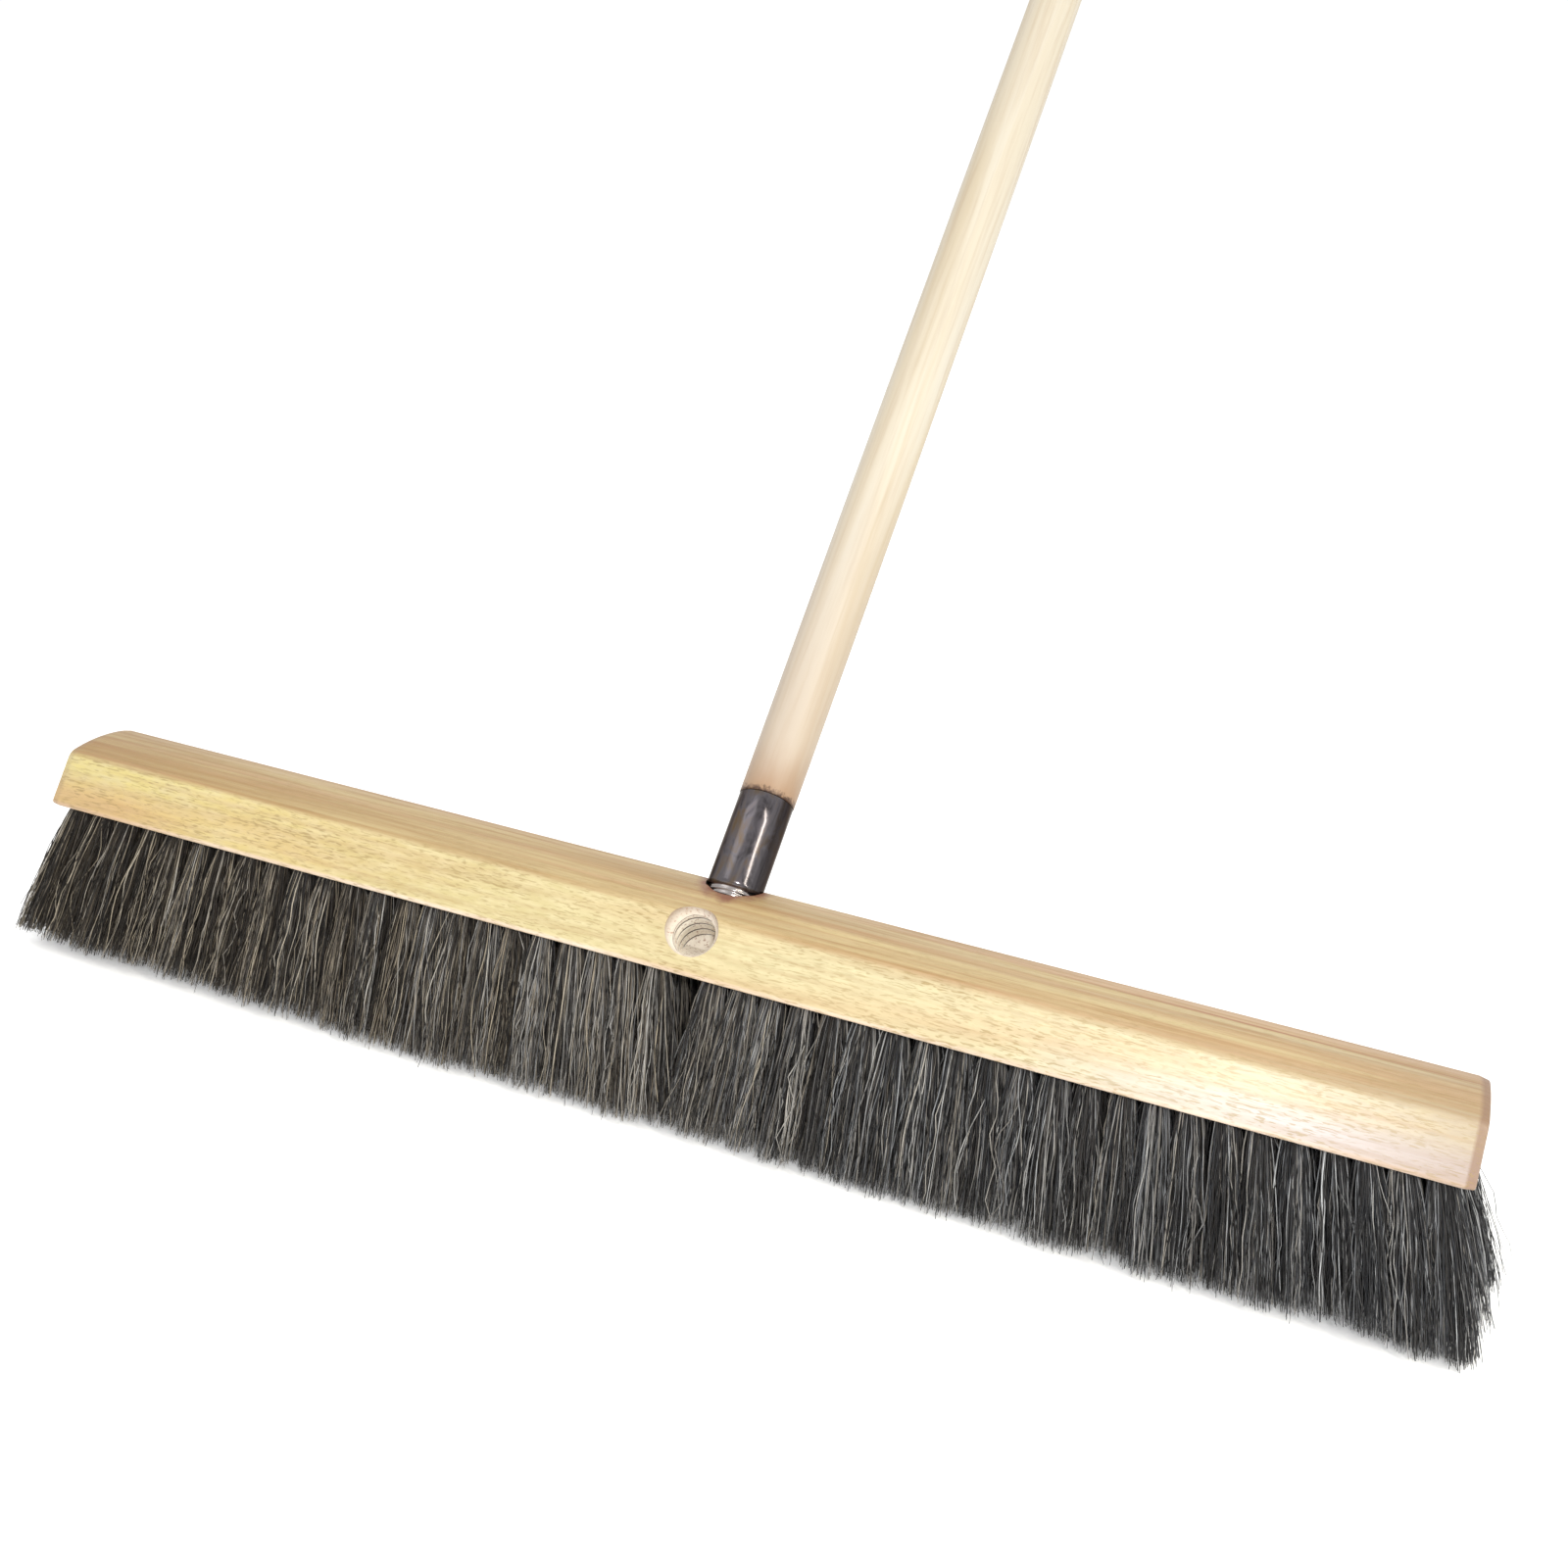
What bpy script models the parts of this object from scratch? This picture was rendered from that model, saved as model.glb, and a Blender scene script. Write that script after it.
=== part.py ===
"""Push broom: a 24 inch hardwood block with five rows of stiff bristle and a screw-in handle.

World frame: metres, +Z up, X along the block, -Y the front of the broom. Z = 0 is the plane of
the bristle tips and X = Y = 0 is the middle of the block. The handle leans back from a threaded
hole behind the crest of the block, and the matching hole in front is empty.
"""

import math

import bmesh
import bpy
from mathutils import Matrix, Vector

MM = 0.001

# Block
BLOCK_LENGTH = 609.6
BLOCK_WIDTH = 63.5
BLOCK_HEIGHT = 23.8
CREST_HALF_WIDTH = 19.4
CREST_HEIGHT = 21.9
CREST_RADIUS = 6.0
ARRIS_RADIUS = 1.2
ARRIS_TRIM = 0.85
END_FACET = 4.2
END_ROUND = 1.0

# Bristle
TRIM = 70.0
ROW_PITCH = 11.25
TUFT_PITCH = 12.7
TUFTS_PER_SIDE = 23
TUFT_RADIUS = 3.5
BANK_SPLITS = (0, 4, 8, 13, 18, 23)
MERGE_DROP = 18.0
MERGE_HALF_WIDTH = 5.8
TIP_HALF_WIDTH = 6.8
TIP_FAN = 1.25
END_LEAN = 24.0
CENTRE_LEAN = 5.0
BANK_GAP = 0.3

# Handle holes and thread
HANDLE_TILT = math.radians(42.0)
FRONT_HOLE = (0.0, -22.6, TRIM + 15.9)
REAR_HOLE = (3.0, 16.0, TRIM + 21.8)
THREAD_PITCH = 5.08
HOLE_MINOR_RADIUS = 8.4
HOLE_MAJOR_RADIUS = 9.7
HOLE_DEPTH = 19.0
HOLE_FLOOR = 1.2
MOUTH_RADIUS = 11.25
REAR_BORE_RADIUS = 9.85
SOCKET_RADIUS = 11.4
SOCKET_DEPTH = 7.5
FERRULE_CLEARANCE_RADIUS = 12.3

# Ferrule
BARREL_RADIUS = 11.9
BARREL_TOP = 40.2
BARREL_FOOT = -3.8
BARREL_WALL = 0.9
NECK_ROOT_RADIUS = 9.9
NECK_THREAD = 0.75
THREAD_ROOT_RADIUS = 8.2
THREAD_CREST_RADIUS = 9.525
THREAD_END = -18.3
BORE_RADIUS = 7.3
LIP_RADIUS = 5.0

# Handle
HANDLE_RADIUS = 12.6
HANDLE_FOOT_RADIUS = 12.0
HANDLE_TAPER_TOP = 200.0
TENON_RADIUS = 10.5
TENON_START = -0.4
HANDLE_TOP = 1504.0
TOP_FLAT_RADIUS = 6.0

# Nail that holds the ferrule on the handle
NAIL_HEIGHT = 30.0
NAIL_RADIUS = 0.9
NAIL_HEAD_RADIUS = 2.2
NAIL_CLEARANCE = 0.3
NAIL_TIP = 4.0

ROUND_SEGMENTS = 20
RINGS_PER_TURN = 6


def clear_scene():
    for obj in list(bpy.data.objects):
        bpy.data.objects.remove(obj, do_unlink=True)


def material(name, colour, roughness, metallic=0.0):
    """A Principled material with one plain colour."""
    mat = bpy.data.materials.new(name)
    mat.use_nodes = True
    shader = mat.node_tree.nodes["Principled BSDF"]
    shader.inputs["Base Color"].default_value = (*colour, 1.0)
    shader.inputs["Roughness"].default_value = roughness
    shader.inputs["Metallic"].default_value = metallic
    return mat


def make_object(name, verts, faces, mat=None):
    """A mesh object from millimetre vertices, with its normals outward."""
    mesh = bpy.data.meshes.new(name)
    bm = bmesh.new()
    points = [bm.verts.new(Vector(v) * MM) for v in verts]
    for face in faces:
        bm.faces.new([points[i] for i in face])
    bmesh.ops.recalc_face_normals(bm, faces=bm.faces)
    bm.to_mesh(mesh)
    bm.free()
    obj = bpy.data.objects.new(name, mesh)
    bpy.context.scene.collection.objects.link(obj)
    if mat is not None:
        mesh.materials.append(mat)
    return obj


def smooth(obj, degrees):
    """Smooth shading, with edges steeper than the given angle kept sharp."""
    obj.data.shade_smooth()
    obj.data.set_sharp_from_angle(angle=math.radians(degrees))


def thread_wave(phase):
    """Height from 0 to 1 of a trapezoid thread, with its crest at phase 0.5."""
    return min(1.0, max(0.0, (0.315 - abs(phase % 1.0 - 0.5)) / 0.13))


def revolve(name, profile, mat=None, segments=ROUND_SEGMENTS, closed=False, twist=0.0):
    """Turn a profile of (radius, height, thread depth) points round the Z axis.

    A closed profile makes a hollow piece; an open one starts and ends on the axis. The thread
    is right-handed and adds to the radius. twist turns the facets by a part of one segment.
    """
    verts = []
    rings = []
    for radius, height, depth in profile:
        if radius == 0.0:
            rings.append([len(verts)] * segments)
            verts.append((0.0, 0.0, height))
            continue
        ring = []
        for step in range(segments):
            turn = (step + twist) / segments
            r = radius + depth * thread_wave(height / THREAD_PITCH - turn)
            angle = 2.0 * math.pi * turn
            ring.append(len(verts))
            verts.append((r * math.cos(angle), r * math.sin(angle), height))
        rings.append(ring)
    faces = []
    pairs = list(zip(rings, rings[1:]))
    if closed:
        pairs.append((rings[-1], rings[0]))
    for low, high in pairs:
        for step in range(segments):
            after = (step + 1) % segments
            corners = [low[step], low[after], high[after], high[step]]
            faces.append(list(dict.fromkeys(corners)))
    return make_object(name, verts, faces, mat)


def thread_rings(root, depth, start, end, fade=0.4):
    """Profile points down a thread, with the depth faded over part of a turn at both ends."""
    count = round(abs(end - start) / THREAD_PITCH * RINGS_PER_TURN)
    points = []
    for step in range(count + 1):
        height = start + (end - start) * step / count
        edge = min(abs(height - start), abs(height - end)) / (fade * THREAD_PITCH)
        points.append((root, height, depth * min(1.0, edge)))
    return points


def as_cutter(obj):
    obj.hide_render = True
    obj.display_type = "WIRE"
    return obj


def cut(target, cutter):
    """Subtract the cutter from the target with an exact boolean."""
    modifier = target.modifiers.new("Cut " + cutter.name, "BOOLEAN")
    modifier.operation = "DIFFERENCE"
    modifier.solver = "EXACT"
    modifier.object = cutter


def fillet(before, corner, after, radius, segments):
    """Points of an arc that rounds a corner of an outline."""
    corner = Vector(corner)
    to_before = (Vector(before) - corner).normalized()
    to_after = (Vector(after) - corner).normalized()
    half = to_before.angle(to_after) / 2.0
    reach = radius / math.tan(half)
    centre = corner + (to_before + to_after).normalized() * radius / math.sin(half)
    start = corner + to_before * reach - centre
    end = corner + to_after * reach - centre
    span = start.angle(end)
    points = []
    for step in range(segments + 1):
        share = step / segments
        arm = start * math.sin((1.0 - share) * span) + end * math.sin(share * span)
        points.append(centre + arm / math.sin(span))
    return points


def block_outline():
    """The block's cross-section as (y, z) points, from the front arris over the crown."""
    foot = (-BLOCK_WIDTH / 2.0 - ARRIS_TRIM, 0.0)
    crest = (-CREST_HALF_WIDTH, CREST_HEIGHT)
    rise = BLOCK_HEIGHT - CREST_HEIGHT
    crown = []
    for share in (0.74, 0.5, 0.25):
        crown.append((-CREST_HALF_WIDTH * share, BLOCK_HEIGHT - rise * share ** 2))
    half = fillet((0.0, 0.0), foot, crest, ARRIS_RADIUS, 3)
    half += fillet(foot, crest, crown[0], CREST_RADIUS, 4)
    half += [Vector(point) for point in crown]
    mirrored = [Vector((-p.x, p.y)) for p in reversed(half)]
    return half + [Vector((0.0, BLOCK_HEIGHT))] + mirrored


def inset(outline, side, top, bottom):
    """The outline drawn in by so much at the sides, the top and the bottom."""
    points = []
    for y, z in outline:
        share = z / BLOCK_HEIGHT
        points.append((
            y * (1.0 - 2.0 * side / BLOCK_WIDTH),
            z + bottom * (1.0 - share) - top * share,
        ))
    return points


def make_block(wood):
    """The hardwood block: a lofted crowned bar with both handle holes cut into it."""
    outline = block_outline()
    half = BLOCK_LENGTH / 2.0
    sections = [
        (-half, inset(outline, 1.8, 1.2, 0.8)),
        (-half + END_ROUND, inset(outline, 0.9, 0.6, 0.1)),
        (-half + END_FACET, outline),
        (half - END_FACET, outline),
        (half - END_ROUND, inset(outline, 0.9, 0.6, 0.1)),
        (half, inset(outline, 1.8, 1.2, 0.8)),
    ]
    count = len(outline)
    verts = [(x, y, TRIM + z) for x, section in sections for y, z in section]
    faces = [list(range(count)), list(range(5 * count, 6 * count))]
    for level in range(5):
        for i in range(count):
            j = (i + 1) % count
            a = level * count
            faces.append([a + i, a + j, a + count + j, a + count + i])
    block = make_object("block", verts, faces, wood)
    smooth(block, 25.0)
    cut(block, make_front_hole_cutter())
    cut(block, make_rear_hole_cutter())
    return block


def make_front_hole_cutter():
    """The empty hole: a coned mouth, a right-hand thread and a floor above the underside."""
    cone = MOUTH_RADIUS - HOLE_MAJOR_RADIUS
    profile = [(0.0, -HOLE_DEPTH, 0.0)]
    profile += thread_rings(
        HOLE_MINOR_RADIUS, HOLE_MAJOR_RADIUS - HOLE_MINOR_RADIUS, -HOLE_DEPTH, -cone, 0.25
    )
    profile += [(HOLE_MAJOR_RADIUS, -cone, 0.0), (MOUTH_RADIUS, 0.0, 0.0)]
    profile += [(MOUTH_RADIUS, 12.0, 0.0), (0.0, 12.0, 0.0)]
    cutter = revolve("front_hole_cutter", profile, twist=0.5)
    placed = Matrix.Translation(Vector(FRONT_HOLE) * MM) @ Matrix.Rotation(HANDLE_TILT, 4, "X")
    cutter.data.transform(placed)
    bm = bmesh.new()
    bm.from_mesh(cutter.data)
    bmesh.ops.bisect_plane(
        bm,
        geom=bm.verts[:] + bm.edges[:] + bm.faces[:],
        dist=0.00001,
        plane_co=(0.0, 0.0, (TRIM + HOLE_FLOOR) * MM),
        plane_no=(0.0, 0.0, 1.0),
        clear_inner=True,
    )
    bmesh.ops.holes_fill(bm, edges=[e for e in bm.edges if e.is_boundary], sides=0)
    bmesh.ops.recalc_face_normals(bm, faces=bm.faces)
    bm.to_mesh(cutter.data)
    bm.free()
    return as_cutter(cutter)


def make_rear_hole_cutter():
    """The hole the handle screws into, plain and wide enough to clear the male thread."""
    profile = [
        (0.0, -HOLE_DEPTH, 0.0),
        (REAR_BORE_RADIUS, -HOLE_DEPTH, 0.0),
        (REAR_BORE_RADIUS, -SOCKET_DEPTH - 2.0, 0.0),
        (SOCKET_RADIUS, -SOCKET_DEPTH, 0.0),
        (SOCKET_RADIUS, BARREL_FOOT - 0.9, 0.0),
        (FERRULE_CLEARANCE_RADIUS, BARREL_FOOT, 0.0),
        (FERRULE_CLEARANCE_RADIUS, 30.0, 0.0),
        (0.0, 30.0, 0.0),
    ]
    cutter = revolve("rear_hole_cutter", profile, twist=0.25)
    placed = Matrix.Translation(Vector(REAR_HOLE) * MM) @ Matrix.Rotation(-HANDLE_TILT, 4, "X")
    cutter.data.transform(placed)
    return as_cutter(cutter)


def make_handle_axis():
    """The empty that carries the handle: origin in the rear hole, +Z up the handle."""
    axis = bpy.data.objects.new("handle_axis", None)
    bpy.context.scene.collection.objects.link(axis)
    axis.location = Vector(REAR_HOLE) * MM
    axis.rotation_euler = (-HANDLE_TILT, 0.0, 0.0)
    return axis


def make_handle(wood, axis, nail_bore):
    """The round wood handle, turned down to a tenon where the ferrule covers it."""
    shoulder = BARREL_TOP + 0.4
    profile = [
        (0.0, TENON_START, 0.0),
        (TENON_RADIUS - 0.8, TENON_START, 0.0),
        (TENON_RADIUS, TENON_START + 0.8, 0.0),
        (TENON_RADIUS, shoulder, 0.0),
        (HANDLE_FOOT_RADIUS - 0.5, shoulder, 0.0),
        (HANDLE_FOOT_RADIUS, shoulder + 0.7, 0.0),
        (HANDLE_RADIUS, HANDLE_TAPER_TOP, 0.0),
        (HANDLE_RADIUS, HANDLE_TOP - 8.0, 0.0),
        (HANDLE_RADIUS - 0.9, HANDLE_TOP - 3.5, 0.0),
        (HANDLE_RADIUS - 3.0, HANDLE_TOP - 1.0, 0.0),
        (TOP_FLAT_RADIUS, HANDLE_TOP, 0.0),
        (0.0, HANDLE_TOP, 0.0),
    ]
    handle = revolve("handle", profile, wood)
    smooth(handle, 30.0)
    handle.parent = axis
    cut(handle, nail_bore)
    return handle


def make_ferrule(steel, axis, nail_bore):
    """The sheet-steel ferrule: a barrel over the handle and a rolled thread below it."""
    inner = BARREL_RADIUS - BARREL_WALL
    profile = [
        (BARREL_RADIUS, BARREL_TOP, 0.0),
        (BARREL_RADIUS, BARREL_FOOT + 1.8, 0.0),
        (BARREL_RADIUS - 0.4, BARREL_FOOT + 0.9, 0.0),
        (NECK_ROOT_RADIUS + 0.3, BARREL_FOOT + 0.4, 0.0),
    ]
    profile += thread_rings(NECK_ROOT_RADIUS, NECK_THREAD, BARREL_FOOT + 0.1, 0.9 - SOCKET_DEPTH)
    depth = THREAD_CREST_RADIUS - THREAD_ROOT_RADIUS
    profile += thread_rings(THREAD_ROOT_RADIUS, depth, -SOCKET_DEPTH - 1.0, THREAD_END + 0.5)
    profile += [
        (THREAD_ROOT_RADIUS - 0.3, THREAD_END, 0.0),
        (LIP_RADIUS, THREAD_END, 0.0),
        (LIP_RADIUS, THREAD_END + 0.8, 0.0),
        (BORE_RADIUS, THREAD_END + 1.0, 0.0),
        (BORE_RADIUS, -SOCKET_DEPTH, 0.0),
        (NECK_ROOT_RADIUS - 0.9, 1.0 - SOCKET_DEPTH, 0.0),
        (NECK_ROOT_RADIUS - 0.9, BARREL_FOOT + 1.0, 0.0),
        (inner - 0.5, BARREL_FOOT + 1.8, 0.0),
        (inner, BARREL_FOOT + 2.6, 0.0),
        (inner, BARREL_TOP, 0.0),
    ]
    ferrule = revolve("threaded_ferrule", profile, steel, closed=True)
    smooth(ferrule, 35.0)
    ferrule.parent = axis
    cut(ferrule, nail_bore)
    return ferrule


def along_back(obj, axis):
    """Put a piece turned about Z on the nail's line, which runs out of the ferrule's back."""
    placed = Matrix.Translation((0.0, 0.0, NAIL_HEIGHT * MM)) @ Matrix.Rotation(-math.pi / 2.0, 4, "X")
    obj.data.transform(placed)
    obj.parent = axis


def make_nail_bore(axis):
    """The clearance hole for the nail through the barrel and into the tenon."""
    radius = NAIL_RADIUS + NAIL_CLEARANCE
    start = NAIL_TIP - NAIL_CLEARANCE
    profile = [(0.0, start, 0.0), (radius, start, 0.0), (radius, 16.0, 0.0), (0.0, 16.0, 0.0)]
    bore = revolve("nail_bore_cutter", profile, segments=12, twist=0.5)
    along_back(bore, axis)
    return as_cutter(bore)


def make_nail(steel, axis):
    """The short nail driven through the back of the barrel into the wood."""
    seat = BARREL_RADIUS + NAIL_CLEARANCE
    profile = [
        (0.0, NAIL_TIP, 0.0),
        (NAIL_RADIUS, NAIL_TIP + 1.6, 0.0),
        (NAIL_RADIUS, seat, 0.0),
        (NAIL_HEAD_RADIUS, seat, 0.0),
        (NAIL_HEAD_RADIUS, seat + 0.4, 0.0),
        (NAIL_HEAD_RADIUS - 0.8, seat + 0.9, 0.0),
        (0.0, seat + 1.1, 0.0),
    ]
    nail = revolve("ferrule_nail", profile, steel, segments=12)
    smooth(nail, 35.0)
    along_back(nail, axis)
    return nail


def tip_shift(x):
    """How far a fibre rooted at x leans along X at its tip: out at the ends, in at the middle."""
    share = x / (BLOCK_LENGTH / 2.0 - 15.0)
    inward = CENTRE_LEAN * math.exp(-((x / 60.0) ** 2))
    return END_LEAN * share * abs(share) - math.copysign(inward, x)


def bank_level(x_low, x_high, y, half_width, drop):
    """Four corners of a bank's rectangle, drop millimetres below the block."""
    z = TRIM - drop
    return [
        (x_low, y - half_width, z),
        (x_high, y - half_width, z),
        (x_high, y + half_width, z),
        (x_low, y + half_width, z),
    ]


def make_bank(name, row, first, last, side, fibre):
    """One bank of neighbouring tufts, narrow at the roots and spread at the tips."""
    y = (row - 3) * ROW_PITCH
    stagger = TUFT_PITCH / 2.0 if row in (2, 4) else 0.0
    inner = first * TUFT_PITCH - stagger - TUFT_RADIUS
    outer = last * TUFT_PITCH - stagger + TUFT_RADIUS
    inner_half = (first - 0.5) * TUFT_PITCH - stagger + BANK_GAP / 2.0
    outer_half = (last + 0.5) * TUFT_PITCH - stagger - BANK_GAP / 2.0
    drop_share = MERGE_DROP / TRIM
    spans = [
        (inner, outer, y, TUFT_RADIUS, BANK_GAP),
        (
            inner_half + tip_shift(inner_half) * drop_share,
            outer_half + tip_shift(outer_half) * drop_share,
            y * (1.0 + (TIP_FAN - 1.0) * drop_share),
            MERGE_HALF_WIDTH,
            MERGE_DROP,
        ),
        (
            inner_half + tip_shift(inner_half),
            outer_half + tip_shift(outer_half),
            y * TIP_FAN,
            TIP_HALF_WIDTH,
            TRIM,
        ),
    ]
    if row == 3 and first == 1:
        crossing = 3.0 if side < 0.0 else -3.0 - BANK_GAP
        spans[2] = (-crossing, *spans[2][1:])
    verts = []
    for low, high, centre, half_width, drop in spans:
        ends = sorted((side * low, side * high))
        verts += bank_level(ends[0], ends[1], centre, half_width, drop)
    faces = [[0, 1, 2, 3], [8, 9, 10, 11]]
    for level in (0, 4):
        for i in range(4):
            j = (i + 1) % 4
            faces.append([level + i, level + j, level + 4 + j, level + 4 + i])
    return make_object(name, verts, faces, fibre)


def make_bristle(fibre):
    """Five rows of bristle, each in ten banks of neighbouring tufts."""
    banks = []
    for row in range(1, 6):
        for side, word in ((-1.0, "left"), (1.0, "right")):
            for bank in range(5):
                first = BANK_SPLITS[bank] + 1
                if bank == 0 and row in (2, 4):
                    first = 2
                last = BANK_SPLITS[bank + 1]
                name = f"bristle_row{row}_{word}_bank{bank + 1}"
                banks.append(make_bank(name, row, first, last, side, fibre))
    return banks


def main():
    clear_scene()
    block_wood = material("block_wood", (0.72, 0.56, 0.34), 0.35)
    handle_wood = material("handle_wood", (0.80, 0.68, 0.50), 0.45)
    steel = material("ferrule_steel", (0.16, 0.15, 0.16), 0.35, 1.0)
    nail_steel = material("nail_steel", (0.45, 0.45, 0.45), 0.4, 1.0)
    fibre = material("bristle_fibre", (0.08, 0.07, 0.065), 0.6)
    make_block(block_wood)
    axis = make_handle_axis()
    nail_bore = make_nail_bore(axis)
    make_handle(handle_wood, axis, nail_bore)
    make_ferrule(steel, axis, nail_bore)
    make_nail(nail_steel, axis)
    make_bristle(fibre)


main()
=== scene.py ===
"""Looks for the push broom: lacquered hardwood block, scorched stick, dark steel ferrule and loose bristle.

Everything is in metres in the frame of the CAD model: Z = 0 is the plane of the bristle tips, X runs
along the block and -Y is the front of the broom.
"""

import math

import bmesh
import bpy
import numpy as np
from mathutils import Matrix, Vector


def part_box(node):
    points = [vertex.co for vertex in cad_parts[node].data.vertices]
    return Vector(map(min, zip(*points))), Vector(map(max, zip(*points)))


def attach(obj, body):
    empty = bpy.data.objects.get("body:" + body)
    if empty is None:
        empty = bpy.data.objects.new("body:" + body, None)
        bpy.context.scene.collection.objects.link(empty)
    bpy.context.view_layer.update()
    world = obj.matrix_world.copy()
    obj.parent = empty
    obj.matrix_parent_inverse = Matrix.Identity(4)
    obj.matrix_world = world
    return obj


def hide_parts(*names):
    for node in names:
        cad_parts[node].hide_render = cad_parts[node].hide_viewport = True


MM = 0.001

# The CAD model and its box, before any visual piece is made
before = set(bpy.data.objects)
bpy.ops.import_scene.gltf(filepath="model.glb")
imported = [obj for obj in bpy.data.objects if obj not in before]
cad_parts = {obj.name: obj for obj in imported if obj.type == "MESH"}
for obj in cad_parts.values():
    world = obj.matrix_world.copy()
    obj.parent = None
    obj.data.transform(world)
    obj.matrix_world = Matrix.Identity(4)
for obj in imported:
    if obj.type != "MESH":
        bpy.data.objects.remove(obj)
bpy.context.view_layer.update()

BLOCK_LOW, BLOCK_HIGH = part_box("block")
UNDERSIDE = BLOCK_LOW.z / MM
BLOCK_LENGTH = (BLOCK_HIGH.x - BLOCK_LOW.x) / MM
BLOCK_WIDTH = 63.5
BLOCK_HEIGHT = (BLOCK_HIGH.z - BLOCK_LOW.z) / MM

# Block section and ends, in millimetres
CREST_HALF_WIDTH = 19.4
CREST_HEIGHT = 21.9
CREST_RADIUS = 6.0
ARRIS_RADIUS = 1.2
ARRIS_TRIM = 0.85
END_FACET = 4.2
END_ROUND = 1.0
SECTION_STATIONS = (-150.0, -45.0, -15.0, 15.0, 45.0, 150.0)

# Bristle layout
ROWS = (1, 2, 3, 4, 5)
MIDDLE_ROW = 3
OUTER_ROWS = (1, 5)
STAGGERED_ROWS = (2, 4)
ROW_PITCH = 11.25
TUFT_PITCH = 12.7
TUFTS_PER_SIDE = 23
SOCKET_RADIUS = 3.5
SOCKET_DEPTH = 8.0
TIP_FAN = 1.25
END_LEAN = 24.0
LEFT_END_LEAN = 21.0
CENTRE_LEAN = 5.0
BANK_SPLITS = (0, 4, 8, 13, 18, 23)
BANKS_PER_SIDE = len(BANK_SPLITS) - 1
TUFT_SPREAD = 3.3
END_TUFTS = 262.0
# Place along X, half-width and depth of each dip in the trimmed edge
WORN_NOTCHES = ((-309.0, 9.0, 3.0), (180.0, 9.0, 3.2), (277.0, 20.0, 3.2), (304.0, 7.0, -0.8))
LOCKS_PER_TUFT = 7
OUTER_FIBRES = 300
INNER_FIBRES = 120
OUTER_RINGS = 12
INNER_RINGS = 6
END_DENSITY = 1.5
TIP_REACH = 8.2
TIP_LIMIT = 12.0
STRAY_REACH = 4.5
END_TIP_REACH = 9.0
END_TIP_LIMIT = 9.5
END_STRAY_REACH = 2.0
STRAY_SHARE = 0.05
CROPPED_SHARE = 0.12
CROP_DEPTH = 14.0
ROOT_DEPTH = 3.0
LEAST_TIP_HEIGHT = 0.3
SEED = 24

# Handle holes, thread and ferrule; BORE_* and MOUTH_* are the empty front hole
HANDLE_TILT = math.radians(42.0)
FRONT_HOLE = (0.0, -22.6, UNDERSIDE + 15.9)
REAR_HOLE = (3.0, 16.0, UNDERSIDE + 21.8)
THREAD_PITCH = 5.08
HOLE_DEPTH = 19.0
HOLE_FLOOR = 1.2
BORE_LAND = 9.3
BORE_SHIFT = 1.5
BORE_DEPTH = 22.0
GROOVE_DEPTH = 1.0
GROOVE_HALF_TURN = 0.12
MOUTH_RADIUS = 11.25
MOUTH_DEPTH = -3.4
BARREL_RADIUS = 11.9
BARREL_TOP = 40.2
BARREL_FOOT = -3.8
BARREL_WALL = 0.9
NECK_RADIUS = 10.1
THREAD_RADIUS = 8.2
THREAD_END = -18.3
REAR_BORE_RADIUS = 9.85
REAR_SEAT_RADIUS = 11.6
REAR_MOUTH_RADIUS = 12.35

# Handle, with heights measured along its axis from the mouth of the rear hole
HANDLE_RADIUS = 12.6
HANDLE_FOOT_RADIUS = 12.0
HANDLE_TAPER_TOP = 200.0
TENON_RADIUS = 10.5
HANDLE_TOP = 1504.0
HANDLE_TOP_ROUND = 8.0

# Nail
NAIL_HEIGHT = 30.0
NAIL_RADIUS = 0.9
NAIL_HEAD_RADIUS = 2.15

# Camera and studio: places in metres, the lens and the floor's drop in millimetres
LENS = 42.84
CAMERA_PLACE = (0.2354, -0.6600, 0.3973)
CAMERA_RIGHT = (0.932, 0.3433, 0.1167)
CAMERA_UP = (-0.2209, 0.2823, 0.9335)
FLOOR_RADIUS = 9.0
FLOOR_DROP = 1.5
WORLD_STRENGTH = 1.05


# ---------------------------------------------------------------- mesh helpers


def make_object(name, verts, faces, mat):
    """A mesh object from millimetre vertices, with its normals outward."""
    mesh = bpy.data.meshes.new(name)
    bm = bmesh.new()
    points = [bm.verts.new(Vector(v) * MM) for v in verts]
    for face in faces:
        bm.faces.new([points[i] for i in face])
    bmesh.ops.recalc_face_normals(bm, faces=bm.faces)
    bm.to_mesh(mesh)
    bm.free()
    obj = bpy.data.objects.new(name, mesh)
    bpy.context.scene.collection.objects.link(obj)
    mesh.materials.append(mat)
    return obj


def smooth(obj, degrees):
    """Shade smooth, with edges sharper than this kept crisp."""
    obj.data.shade_smooth()
    obj.data.set_sharp_from_angle(angle=math.radians(degrees))


def revolve(name, profile, mat, segments, radius_at=None, closed=False):
    """Turn (radius, height) points round Z. radius_at(radius, height, turn) may reshape the wall."""
    verts = []
    rings = []
    for radius, height in profile:
        if radius == 0.0:
            rings.append([len(verts)] * segments)
            verts.append((0.0, 0.0, height))
            continue
        ring = []
        for step in range(segments):
            turn = step / segments
            r = radius if radius_at is None else radius_at(radius, height, turn)
            angle = 2.0 * math.pi * turn
            ring.append(len(verts))
            verts.append((r * math.cos(angle), r * math.sin(angle), height))
        rings.append(ring)
    faces = []
    pairs = list(zip(rings, rings[1:]))
    if closed:
        pairs.append((rings[-1], rings[0]))
    for low, high in pairs:
        for step in range(segments):
            after = (step + 1) % segments
            corners = [low[step], low[after], high[after], high[step]]
            faces.append(list(dict.fromkeys(corners)))
    return make_object(name, verts, faces, mat)


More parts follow.
